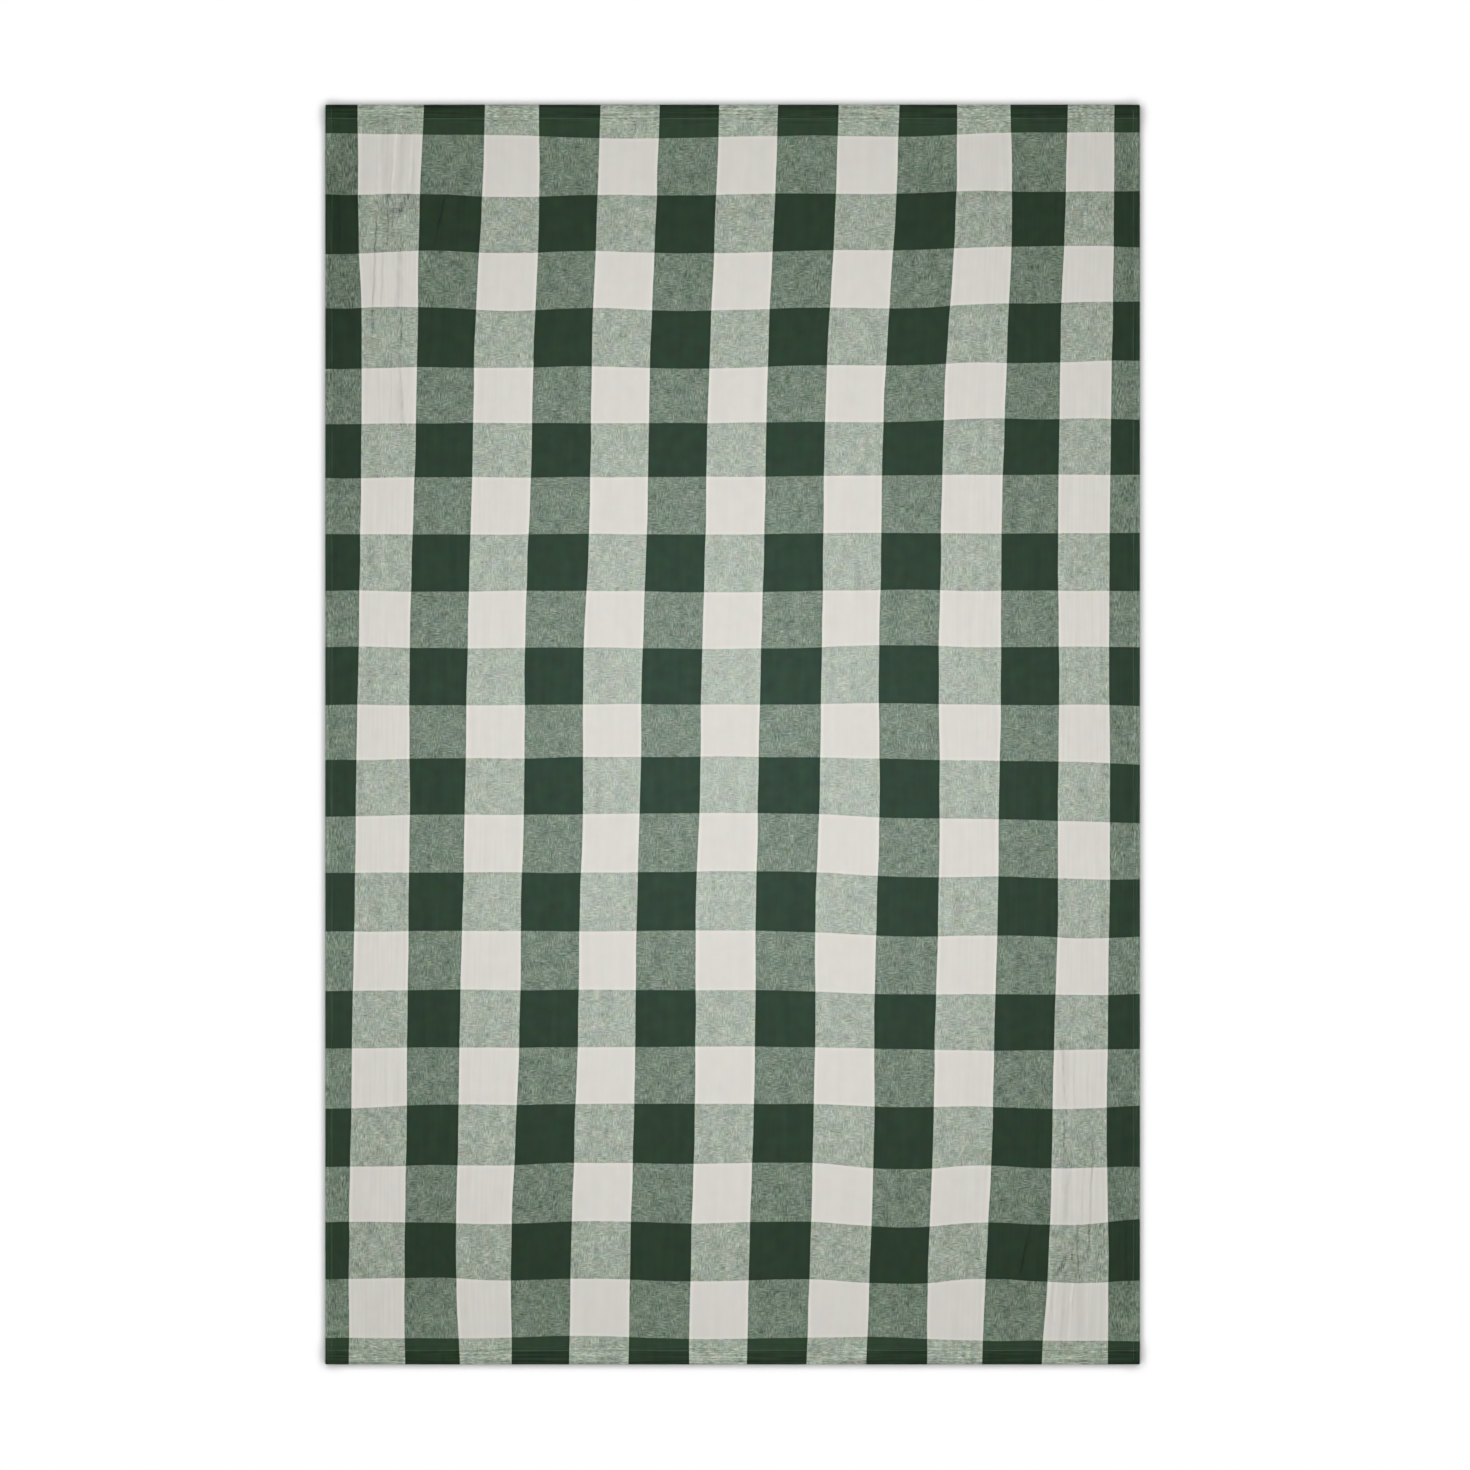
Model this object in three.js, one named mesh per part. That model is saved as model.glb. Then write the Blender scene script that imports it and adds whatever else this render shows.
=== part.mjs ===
// A woven check tablecloth, laid out flat: one sheet of slubby cotton with a double-turned hem
// on all four sides, soft creases in two opposite corners and a few low swells in between.
//
// Millimetres, with +X across the cloth, +Y along it and +Z up. The origin is under the middle
// of the cloth, on the surface that it lies on. The check is woven in and not raised, so the
// solid is the cloth without its colours.
import * as THREE from 'three';

// The cloth as it lies
const clothWidth = 1422;
const clothLength = 2200;
const clothThickness = 1;

// The hem: three layers pressed flat, with a rounded fold outside, wider at the ends
const hemThickness = 2.8;
const sideHem = 12;
const endHem = 25;
const hemSlope = 16; // how far in the cloth comes down from the hem to the surface

// The grid: closer lines where the creases are, from each corner inwards
const creasedAcross = 172;
const creasedDown = 600;
const closeAcross = 12;
const closeDown = 44;
const openAcross = 89;
const openDown = 88;
const foldTurns = [0, 45, 90]; // degrees round the outer fold

// Creases, from the middle of each ridge at its two ends. They are measured from the corner,
// along the short side and along the long side. The cloth was put away folded, so the
// opposite corner has the same ones, half a turn round.
const creases = [
  { across: 144, along: 49, acrossEnd: 135, alongEnd: 167, width: 30, height: 2.2 },
  { across: 134, along: 170, acrossEnd: 106, alongEnd: 262, width: 34, height: 3.0 },
  { across: 120, along: 49, acrossEnd: 110, alongEnd: 167, width: 28, height: 2.4 },
  { across: 92, along: 205, acrossEnd: 86, alongEnd: 360, width: 30, height: 2.6 },
  { across: 132, along: 285, acrossEnd: 127, alongEnd: 420, width: 30, height: 2.2 },
  { across: 126, along: 440, acrossEnd: 123, alongEnd: 560, width: 28, height: 1.6 },
  { across: 58, along: 250, acrossEnd: 60, alongEnd: 370, width: 28, height: 1.4 },
];
const creaseFade = 45; // how far past its ends a crease dies away

// Low swells where the cloth doesn't quite lie down, from the middle of the cloth
const swells = [
  { x: -300, y: 760, across: 170, along: 260, height: 1.8 },
  { x: 60, y: 640, across: 220, along: 190, height: 1.4 },
  { x: 430, y: 800, across: 180, along: 240, height: 1.6 },
  { x: -420, y: 200, across: 190, along: 300, height: 1.5 },
  { x: 380, y: 160, across: 210, along: 260, height: 1.3 },
  { x: -110, y: -290, across: 230, along: 200, height: 1.4 },
  { x: 440, y: -430, across: 190, along: 280, height: 1.7 },
  { x: -380, y: -660, across: 200, along: 260, height: 1.6 },
  { x: 120, y: -820, across: 220, along: 190, height: 1.5 },
];

const foldRadius = hemThickness / 2;
const hemStep = hemThickness - clothThickness;

function smooth(t) {
  const held = Math.min(1, Math.max(0, t));
  return held * held * (3 - 2 * held);
}

// Evenly spread positions after `from`, up to and including `to`
function spread(from, to, step) {
  const count = Math.ceil((to - from) / step);
  return Array.from({ length: count }, (_, i) => from + ((to - from) * (i + 1)) / count);
}

// Grid lines along one side, as distances from its first edge. The line at the hem's inner
// edge is there twice, once for the hem and once for the open cloth, because the hem's
// layers end there in a step on the underside.
function gridLines(size, hem, creased, closeStep, openStep) {
  const fold = foldTurns.map((turn) => foldRadius * (1 - Math.cos((turn * Math.PI) / 180)));
  const slope = [hem + hemSlope / 2, hem + hemSlope];
  const close = spread(hem + hemSlope, creased, closeStep);
  const firstHalf = [
    ...[...fold, hem].map((at) => ({ at, inHem: true })),
    ...[hem, ...slope, ...close].map((at) => ({ at, inHem: false })),
  ];
  const open = spread(creased, size - creased, openStep).slice(0, -1);
  const secondHalf = firstHalf.map(({ at, inHem }) => ({ at: size - at, inHem })).reverse();
  return [...firstHalf, ...open.map((at) => ({ at, inHem: false })), ...secondHalf];
}

// Distance of a line from the nearer of its two edges
function inset(line, size) {
  return Math.min(line.at, size - line.at);
}

// 1 where hem layers lie under the cloth, falling to 0 where the cloth is down
function hemShare(column, row) {
  const beside = 1 - smooth((inset(column, clothWidth) - sideHem) / hemSlope);
  const before = 1 - smooth((inset(row, clothLength) - endHem) / hemSlope);
  return 1 - (1 - beside) * (1 - before);
}

// Height of one crease at a point measured from its corner
function creaseHeight(crease, across, along) {
  const run = crease.alongEnd - crease.along;
  const lean = crease.acrossEnd - crease.across;
  const length = Math.hypot(run, lean);
  const pastStart = ((along - crease.along) * run + (across - crease.across) * lean) / length;
  const aside = ((across - crease.across) * run - (along - crease.along) * lean) / length;
  const beyond = Math.max(0, -pastStart, pastStart - length);
  const reach = Math.hypot((2 * aside) / crease.width, beyond / creaseFade);
  return crease.height * Math.cos((Math.min(1, reach) * Math.PI) / 2) ** 2;
}

function swellHeight(swell, x, y) {
  const reach = Math.hypot((x - swell.x) / swell.across, (y - swell.y) / swell.along);
  return swell.height * (1 - Math.min(1, reach) ** 2) ** 2;
}

// How far the open cloth lifts off the surface, with crossing creases blended
function lift(x, y) {
  const fromLeft = clothWidth / 2 + x;
  const fromTop = clothLength / 2 - y;
  const corners = [
    [fromLeft, fromTop],
    [clothWidth - fromLeft, clothLength - fromTop],
  ];
  const ridges = corners.flatMap(([across, along]) =>
    creases.map((crease) => creaseHeight(crease, across, along)),
  );
  const crest = Math.hypot(...ridges);
  const swelling = swells.reduce((sum, swell) => sum + swellHeight(swell, x, y), 0);
  return crest + swelling;
}

// The two faces of the cloth at a crossing of grid lines
function faceHeights(column, row) {
  const x = column.at - clothWidth / 2;
  const y = row.at - clothLength / 2;
  const share = hemShare(column, row);
  const raised = share * hemStep + (1 - share) * lift(x, y);
  const edge = Math.min(inset(column, clothWidth), inset(row, clothLength), foldRadius);
  const tuck = foldRadius - Math.sqrt(foldRadius ** 2 - (foldRadius - edge) ** 2);
  const inHem = column.inHem || row.inHem;
  return {
    x,
    y,
    top: clothThickness + raised - tuck,
    under: inHem ? tuck : raised,
  };
}

function clothGeometry() {
  const columns = gridLines(clothWidth, sideHem, creasedAcross, closeAcross, openAcross);
  const rows = gridLines(clothLength, endHem, creasedDown, closeDown, openDown);
  const points = [];
  const known = new Map();
  const triangles = [];

  function point(x, y, z) {
    const key = [x, y, z].map((value) => value.toFixed(3)).join();
    if (!known.has(key)) {
      known.set(key, points.length / 3);
      points.push(x, y, z);
    }
    return known.get(key);
  }

  function addTriangle(a, b, c) {
    if (a !== b && b !== c && c !== a) triangles.push(a, b, c);
  }

  // Two triangles with their shared side from the first corner to the third
  function addQuad([a, b, c, d]) {
    addTriangle(a, b, c);
    addTriangle(a, c, d);
  }

  const crossings = rows.map((row) =>
    columns.map((column) => {
      const { x, y, top, under } = faceHeights(column, row);
      return { top: point(x, y, top), under: point(x, y, under) };
    }),
  );
  for (let j = 1; j < rows.length; j += 1) {
    for (let i = 1; i < columns.length; i += 1) {
      const corners = [
        crossings[j - 1][i - 1],
        crossings[j - 1][i],
        crossings[j][i],
        crossings[j][i - 1],
      ];
      // The shared side always points to the cloth's nearest corner, which keeps the
      // rounded fold whole there
      const toLeft = 2 * i <= columns.length;
      const toFirst = 2 * j <= rows.length;
      if (toLeft !== toFirst) corners.push(corners.shift());
      addQuad(corners.map((corner) => corner.top));
      const [first, ...others] = corners.map((corner) => corner.under);
      addQuad([first, ...others.reverse()]);
    }
  }

  const geometry = new THREE.BufferGeometry();
  geometry.setAttribute('position', new THREE.Float32BufferAttribute(points, 3));
  geometry.setIndex(triangles);
  geometry.computeVertexNormals();
  return geometry;
}

// Green and off-white yarns read as a soft grey green from afar
const cotton = new THREE.MeshStandardMaterial({ color: 0x7f8f80, roughness: 0.9, metalness: 0 });
const tablecloth = new THREE.Mesh(clothGeometry(), cotton);
tablecloth.name = 'tablecloth';

const part = new THREE.Group();
part.add(tablecloth);

export default part;
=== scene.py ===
# A green and off-white check tablecloth, laid out flat and seen from straight above.
# Metres throughout: +X across the cloth, +Y along it, +Z up.
import math
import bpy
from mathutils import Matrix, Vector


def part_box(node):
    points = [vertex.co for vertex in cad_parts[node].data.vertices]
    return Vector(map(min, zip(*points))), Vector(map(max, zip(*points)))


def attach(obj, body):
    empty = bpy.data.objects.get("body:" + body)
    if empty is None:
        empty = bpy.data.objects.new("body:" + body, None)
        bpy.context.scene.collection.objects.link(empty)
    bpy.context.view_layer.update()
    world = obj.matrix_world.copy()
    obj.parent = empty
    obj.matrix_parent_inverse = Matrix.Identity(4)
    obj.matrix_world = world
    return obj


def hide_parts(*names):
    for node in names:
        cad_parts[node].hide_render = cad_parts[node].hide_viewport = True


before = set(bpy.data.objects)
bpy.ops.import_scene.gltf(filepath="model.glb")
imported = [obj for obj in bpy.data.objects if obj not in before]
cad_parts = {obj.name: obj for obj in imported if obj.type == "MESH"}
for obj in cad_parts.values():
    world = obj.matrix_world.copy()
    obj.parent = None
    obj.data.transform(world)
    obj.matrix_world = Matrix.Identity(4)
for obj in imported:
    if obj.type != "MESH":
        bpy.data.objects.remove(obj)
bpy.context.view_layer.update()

from types import SimpleNamespace

import bpy
import numpy as np
from mathutils import Vector, noise

MM = 0.001

# The cloth
# One width of plain-woven slubby cotton, dyed in the yarn, with green and off-white stripes
# both ways. Its edges are turned twice to the back, the long sides first and the ends over
# them. It was put away folded, so two opposite corners kept creases along the warp.
cloth_low, cloth_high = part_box("tablecloth")
cloth_width = cloth_high[0] - cloth_low[0]
cloth_length = cloth_high[1] - cloth_low[1]

side_hem = 12 * MM
end_hem = 25 * MM
turned_in = 10 * MM         # the first turn, hidden inside the hem
seam_inset = 1 * MM         # the stitches' distance from the hem's inner edge
hem_slope = 12 * MM         # how far in the cloth comes down from the hem
seam_groove = 0.25 * MM     # how far the stitches pull the face in
groove_reach = 0.9 * MM
layer_pitch = 1.2 * MM      # from one layer of the hem to the next
corner_pitch = 0.5 * MM     # where the hems cross, nine layers are pressed together
cloth_share = 0.83          # the yarns' part of a layer, the rest is air
ground_gap = 0.4 * MM       # the stitches under the hem hold the cloth off the ground

# Creases, from the middle of each ridge at its two ends, measured from the corner across
# and along the cloth. The opposite corner has the same ones, half a turn round.
creases = [
    # across, along, across at the end, along at the end, width, height, in mm
    (144, 49, 135, 167, 30, 1.3),
    (134, 170, 106, 262, 34, 1.9),
    (120, 49, 110, 167, 28, 1.4),
    (92, 205, 86, 360, 30, 1.6),
    (132, 285, 127, 420, 30, 1.3),
    (126, 440, 123, 560, 28, 1.0),
    (58, 250, 60, 370, 28, 0.9),
]
# The sharp lines on their backs, told in the same way: small ridges, and furrows below 0
wrinkles = [
    (93, 52, 91, 150, 5, 0.3),
    (106, 50, 104, 156, 24, -0.25),
    (124, 50, 116, 156, 6, 0.6),
    (117, 100, 112, 156, 5, -0.4),
    (137, 50, 130, 156, 20, -0.35),
    (152, 56, 145, 150, 7, 0.35),
    (154, 100, 151, 150, 5, -0.5),
    (108, 161, 108, 243, 6, -0.8),
    (144, 158, 128, 187, 15, -1.1),
    (118, 182, 116, 210, 6, -0.7),
    (88, 203, 83, 354, 6, -0.9),
    (100, 256, 98, 346, 5, -0.45),
    (130, 250, 125, 354, 18, -0.6),
    (134, 306, 134, 354, 5, -0.4),
    (208, 164, 198, 205, 6, -0.9),
    (197, 206, 190, 243, 5, -0.5),
    (82, 358, 82, 394, 5, -0.6),
    (132, 358, 132, 422, 5, -0.9),
    (91, 456, 91, 505, 5, -0.3),
    (114, 456, 114, 540, 5, -0.4),
    (129, 456, 136, 556, 6, -0.8),
    (126, 490, 132, 556, 18, -0.35),
    (23, 158, 23, 256, 6, -0.5),
]
crease_fade = 45 * MM       # how far past its ends a crease dies away
wrinkle_fade = 10 * MM
line_wander = 0.8 * MM      # the fine lines aren't quite straight
wander_length = 9 * MM
least_lift = 0.1 * MM       # no furrow presses the cloth into the ground

# Low swells where the cloth doesn't quite lie down, measured from its middle
swells = [
    # x, y, reach across, reach along, height, in mm
    (-600, 820, 130, 330, 1.3),
    (600, -820, 130, 330, 1.3),
    (-300, 760, 170, 260, 1.8),
    (60, 640, 220, 190, 1.4),
    (430, 800, 180, 240, 1.6),
    (-420, 200, 190, 300, 1.5),
    (380, 160, 210, 260, 1.3),
    (-110, -290, 230, 200, 1.4),
    (440, -430, 190, 280, 1.7),
    (-380, -660, 200, 260, 1.6),
    (120, -820, 220, 190, 1.5),
]

# The yarns wander. Each row is a warp yarn's place from the left edge, then how far it is
# pulled to the right at 0, 200, 400 ... 2200 mm from the top edge.
warp_drift = [
    (0, [7, 9, 15, 16, 14, 11, 8, 5, 2, -2, -4, -5]),
    (53, [10, 12, 17, 17, 15, 11, 8, 5, 1, -2, -5, -5]),
    (149, [21, 15, 13, 9, 3, -1, -1, -3, -6, -7, -11, -10]),
    (251, [30, 21, 11, 7, 2, -3, -7, -11, -17, -20, -25, -17]),
    (353, [21, 20, 12, 7, 0, -5, -6, -11, -13, -20, -28, -29]),
    (456, [25, 19, 11, 8, 3, -5, -5, -11, -14, -20, -25, -28]),
    (558, [26, 19, 11, 7, 2, -5, -8, -14, -16, -19, -25, -28]),
    (661, [28, 21, 13, 7, 3, -3, -6, -12, -13, -15, -21, -24]),
    (763, [28, 21, 12, 7, 3, -2, -6, -10, -12, -15, -22, -26]),
    (865, [31, 25, 14, 7, 5, 1, -1, -8, -9, -12, -17, -23]),
    (968, [33, 27, 15, 6, 3, -1, 1, -4, -8, -9, -15, -22]),
    (1070, [36, 31, 17, 9, 5, 2, 3, 1, -4, -8, -16, -19]),
    (1173, [25, 28, 20, 13, 9, 8, 5, 2, -3, -7, -16, -26]),
    (1296, [23, 17, 9, 6, 4, 6, 4, 4, -2, -6, -9, -18]),
    (1378, [2, 1, -2, -6, -8, -8, -7, -8, -11, -12, -9, -9]),
    (1420, [0, -2, -6, -9, -10, -10, -9, -10, -12, -12, -8, -8]),
]
# The weaver's beat wasn't even: the height of each weft stripe in mm, down the middle of
# the cloth from its top edge.
weft_stripes = [
    54, 102, 99, 99.5, 102.5, 96, 94, 100.5, 101, 99.5, 99.5, 91,
    99, 102, 104, 103, 98, 100, 104, 101.5, 100.5, 103.5, 44.5,
]
# Each row is a distance from the top edge, then how much lower the weft lies there than in
# the middle, at these places from the left edge.
weft_places = [0, 25, 200, 305, 450, 634, 842, 1051, 1130, 1245, 1401, 1420]
weft_bow = [
    (50, [-4, -4, -2, -2, 3, 3, -1, 0, -4, -6, -6, -6]),
    (150, [0, 0, 0, 4, 1, 2, -2, -2, -6, -4, -5, -5]),
    (250, [6, 6, 0, 4, 0, 4, -1, -3, -6, -8, -7, -6]),
    (350, [1, 1, -1, 5, 0, 5, -1, -1, -6, -7, -11, -11]),
    (450, [4, 4, 1, 3, 0, 4, -2, -3, -6, -6, -10, -10]),
    (550, [5, 5, 3, 3, 3, 3, 1, -1, -5, -4, -4, -3]),
    (650, [5, 5, 3, 4, 3, 3, 1, 0, -1, -1, -1, -1]),
    (850, [0, 0, 2, 1, 0, 3, 1, -1, 0, 0, 1, 1]),
    (1050, [1, 1, 2, 2, 0, 1, 0, -1, 1, 2, 3, 4]),
    (1150, [6, 6, 3, 3, 1, 0, 1, 6, 7, 9, 13, 14]),
    (1350, [2, 2, 1, 1, 2, 0, 1, 9, 8, 10, 13, 13]),
    (1550, [2, 2, 0, 0, 0, 0, 2, 8, 7, 8, 7, 6]),
    (1650, [4, 4, 2, 2, 2, 1, 2, 6, 7, 7, 5, 5]),
    (1750, [8, 8, 2, 2, 1, 1, 1, 6, 5, 8, 5, 4]),
    (1850, [7, 7, 4, 4, 0, 2, 0, 10, 4, 9, 7, 7]),
    (1950, [2, 2, 3, 5, 0, 4, 0, 10, 3, 6, -1, -3]),
    (2050, [1, 1, -1, 4, 0, 5, 1, 8, 1, 5, 4, 3]),
    (2150, [0, 0, 1, 0, -3, 2, 0, 2, 5, 5, 6, 6]),
]
drift_step = 200            # between the readings of a warp yarn's drift, in mm
warp_repeat = 204.8 * MM    # one green and one off-white stripe
weft_repeat = 200 * MM
yarn_jog = 1.2 * MM         # small irregular steps on top of the drift
jog_reach = 70 * MM
jog_seed = 4
edge_run = 200              # mm past the outermost stripes, where the check goes on evenly


def smooth(t):
    t = np.clip(t, 0, 1)
    return t * t * (3 - 2 * t)


def spread(start, end, step):
    """Evenly spread places after start, up to and including end."""
    return list(np.linspace(start, end, math.ceil((end - start) / step) + 1)[1:])


def through(places, values, at):
    """A smooth curve through values at rising places, read at other places. The values may
    have more dimensions, with the places along the first one."""
    places = np.array(places, float)
    values = np.array(values, float)
    slopes = np.gradient(values, places, axis=0)
    i = np.clip(np.searchsorted(places, at) - 1, 0, len(places) - 2)
    column = (-1,) + (1,) * (values.ndim - 1)
    gap = (places[i + 1] - places[i]).reshape(column)
    t = np.clip((at - places[i]).reshape(column) / gap, 0, 1)
    from_start = values[i] + t * gap * slopes[i]
    from_end = values[i + 1] - (1 - t) * gap * slopes[i + 1]
    return from_start + (from_end - from_start) * smooth(t)


# The kinds of grid line, from the raw edge to the face
TURNED, INNER_FOLD, BACK, OUTER_FOLD, FACE = range(5)
inner_fold_lines = 5
outer_fold_lines = 8


def hem_lines(hem, inner_lines):
    """Grid lines from a raw edge through the hem's layers and folds, and on over the face:
    the kind of each, and its inset from the finished edge or its angle round the fold."""
    seam = hem - seam_inset
    lines = [(TURNED, hem - turned_in), (TURNED, hem - turned_in / 2)]
    lines += [(INNER_FOLD, turn) for turn in np.linspace(0, math.pi, inner_fold_lines)]
    lines += [(BACK, seam), (BACK, hem / 2)]
    lines += [(OUTER_FOLD, turn) for turn in np.linspace(0, math.pi, outer_fold_lines)]
    groove = [seam - groove_reach, seam, seam + groove_reach]
    lines += [(FACE, inset) for inset in (hem * 0.4, *groove, hem)]
    lines += [(FACE, hem + hem_slope * part) for part in (0.25, 0.5, 0.75, 1)]
    return lines + [(FACE, inset) for inset in inner_lines]


def flat_inset(kind, place, hem):
    """A grid line's distance from the finished edge, measured along the cloth: below 0 from
    the outer fold to the raw edge."""
    if kind == FACE:
        return place
    if kind == OUTER_FOLD:
        return layer_pitch * (1 + place - math.pi)
    back_start = layer_pitch * (1 - math.pi)
    if kind == BACK:
        return back_start - (place - layer_pitch)
    back_end = back_start - (hem - 1.5 * layer_pitch)
    if kind == INNER_FOLD:
        return back_end - layer_pitch / 2 * (math.pi - place)
    return back_end - layer_pitch / 2 * math.pi - (hem - layer_pitch / 2 - place)


def grid_lines(size, hem, inner_lines, middle_lines):
    """The cloth's grid lines one way, from raw edge to raw edge: the kind, place and side of
    each, and its place in the flat cloth."""
    edge = hem_lines(hem, inner_lines)
    lines = [(kind, place, -1) for kind, place in edge]
    lines += [(FACE, place, -1) for place in middle_lines]
    lines += [(kind, place, 1) for kind, place in reversed(edge)]
    flat = [side * (size / 2 - flat_inset(kind, place, hem)) for kind, place, side in lines]
    kinds, places, sides = zip(*lines)
    return SimpleNamespace(
        kind=np.array(kinds), place=np.array(places), side=np.array(sides), flat=np.array(flat)
    )


def ridge_heights(rows, fade, across, along):
    """Height of each row's ridge, or furrow, at points measured from their corner."""
    for row in rows:
        start_across, start_along, end_across, end_along, width, height = np.array(row) * MM
        run = end_along - start_along
        lean = end_across - start_across
        length = math.hypot(run, lean)
        past_start = ((along - start_along) * run + (across - start_across) * lean) / length
        aside = ((across - start_across) * run - (along - start_along) * lean) / length
        beyond = np.maximum(0, np.maximum(-past_start, past_start - length))
        reach = np.minimum(1, np.hypot(2 * aside / width, beyond / fade))
        yield height * np.cos(reach * math.pi / 2) ** 2


def fine_lines(x, y):
    """Height of the small ridges and furrows in both creased corners. Two waves in one make
    them wander without an even repeat."""
    corners = (
        (cloth_width / 2 + x, cloth_length / 2 - y),
        (cloth_width / 2 - x, cloth_length / 2 + y),
    )
    heights = 0
    for across, along in corners:
        turns = along / wander_length
        wander = line_wander * np.sin(turns + 2 * np.sin(0.4 * turns))
        heights += sum(ridge_heights(wrinkles, wrinkle_fade, across + wander, along))
    return heights


def lift(x, y):
    """How far the open cloth lifts off the ground, with crossing creases blended."""
    across = cloth_width / 2 + x
    along = cloth_length / 2 - y
    crest = np.zeros_like(across)
    for corner in ((across, along), (cloth_width - across, cloth_length - along)):
        for ridge in ridge_heights(creases, crease_fade, *corner):
            crest = np.hypot(crest, ridge)
    for row in swells:
        swell_x, swell_y, reach_across, reach_along, swell = np.array(row) * MM
        reach = np.hypot((x - swell_x) / reach_across, (y - swell_y) / reach_along)
        crest += swell * (1 - np.minimum(1, reach) ** 2) ** 2
    return np.maximum(crest + fine_lines(x, y), np.minimum(crest, least_lift))


def yarn_places(across_flat, along_flat):
    """Where each point of the flat cloth lies in an even check, with 0 in the middle."""
    from_left = np.clip(across_flat + cloth_width / 2, 0, cloth_width) / MM
    from_top = np.clip(cloth_length / 2 - along_flat, 0, cloth_length) / MM
    drift_places = [place for place, pulls in warp_drift]
    drift_heights = drift_step * np.arange(len(warp_drift[0][1]))
    pulls = np.array([pulls for place, pulls in warp_drift])
    drift = through(drift_places, through(drift_heights, pulls.T, from_top).T, from_left)
    bow_heights = [height for height, bows in weft_bow]
    bows = [bows for height, bows in weft_bow]
    bow = through(weft_places, through(bow_heights, bows, from_top).T, from_left)
    edges = np.cumsum(weft_stripes)[:-1]
    even_edges = weft_repeat / 2 / MM * (np.arange(len(edges)) - (len(edges) - 1) / 2)
    edges = [edges[0] - edge_run, *edges, edges[-1] + edge_run]
    even_edges = [even_edges[0] - edge_run, *even_edges, even_edges[-1] + edge_run]
    below_middle = np.interp(cloth_length / 2 / MM - along_flat / MM, edges, even_edges)
    noise.seed_set(jog_seed)    # this noise takes its seed from the clock otherwise
    jogs = np.array([
        [noise.noise_vector(Vector((x, y, 0)) / jog_reach) for y in along_flat]
        for x in across_flat
    ])
    warp_place = across_flat[:, None] - drift * MM + jogs[..., 0] * yarn_jog
    weft_place = bow * MM - below_middle[None, :] * MM + jogs[..., 1] * yarn_jog
    return warp_place, weft_place


def hem_share(lines, hem):
    """1 where the hem's layers lie under the face, falling to 0 where the cloth is down."""
    return np.where(lines.kind == FACE, 1 - smooth((lines.place - hem) / hem_slope), 1)


def in_groove(lines, hem):
    """1 on the face where the seam runs."""
    return (lines.kind == FACE) & np.isclose(lines.place, hem - seam_inset)


def folded_cloth(across, along):
    """The cloth's middle surface as a grid of points, the directions that its face looks in,
    and how thick it is there."""
    kind = across.kind[:, None]
    turn = across.place[:, None]
    share_x = hem_share(across, side_hem)[:, None]
    share_y = hem_share(along, end_hem)
    pitch = layer_pitch + (corner_pitch - layer_pitch) * share_x * share_y

    # the side hems: how far each layer lies below the face, and its inset
    depth = np.choose(kind, [
        pitch,
        pitch * (1.5 - 0.5 * np.cos(turn)),
        2 * pitch,
        pitch * (1 + np.cos(turn)),
        0 * pitch,
    ])
    inset = np.choose(kind, [
        turn,
        side_hem - pitch / 2 * (1 - np.sin(turn)),
        turn,
        pitch * (1 - np.sin(turn)),
        turn,
    ])
    x = across.side[:, None] * (cloth_width / 2 - inset)

    # the end hems fold all of that over twice more
    stack = 2 * pitch * share_x
    inner_radius = stack + pitch / 2
    outer_radius = 1.5 * stack + pitch
    turn = along.place + 0 * pitch
    z = np.choose(along.kind, [
        2 * stack + pitch - depth,
        inner_radius + (inner_radius - depth) * np.cos(turn),
        depth,
        outer_radius - (outer_radius - depth) * np.cos(turn),
        stack - depth + share_y * 2 * (stack + pitch),
    ])
    inset = np.choose(along.kind, [
        turn,
        end_hem - inner_radius + (inner_radius - depth) * np.sin(turn),
        turn,
        outer_radius - (outer_radius - depth) * np.sin(turn),
        turn,
    ])
    y = along.side * (cloth_length / 2 - inset)

    thickness = cloth_share * pitch
    z += thickness / 2 + ground_gap + (1 - share_x) * (1 - share_y) * lift(x, y)
    grooves = in_groove(across, side_hem)[:, None] | in_groove(along, end_hem)
    z -= seam_groove * grooves * (kind == FACE) * (along.kind == FACE)

    points = np.stack([x, y, z], axis=-1)
    facing = np.cross(np.gradient(points, axis=0), np.gradient(points, axis=1))
    facing /= np.linalg.norm(facing, axis=-1, keepdims=True)
    return points, facing, thickness[..., None]


def sheet_faces(columns, rows):
    """Faces of a closed sheet: a grid of outer points, then one of inner points."""
    index = np.arange(columns * rows).reshape(columns, rows)
    outer = np.stack([index[:-1, :-1], index[1:, :-1], index[1:, 1:], index[:-1, 1:]], axis=-1)
    outer = outer.reshape(-1, 4)
    inner = outer[:, ::-1] + columns * rows
    rim = [*index[:, 0], *index[-1, 1:], *index[-2::-1, -1], *index[0, -2:0:-1]]
    start = np.array(rim)
    end = np.roll(start, -1)
    walls = np.stack([end, start, start + columns * rows, end + columns * rows], axis=-1)
    return np.concatenate([outer, inner, walls])


def mesh_object(name, points, faces, material):
    mesh = bpy.data.meshes.new(name)
    mesh.from_pydata(points, [], faces)
    mesh.materials.append(material)
    mesh.shade_smooth()
    piece = bpy.data.objects.new(name, mesh)
    bpy.context.collection.objects.link(piece)
    return piece


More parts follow.
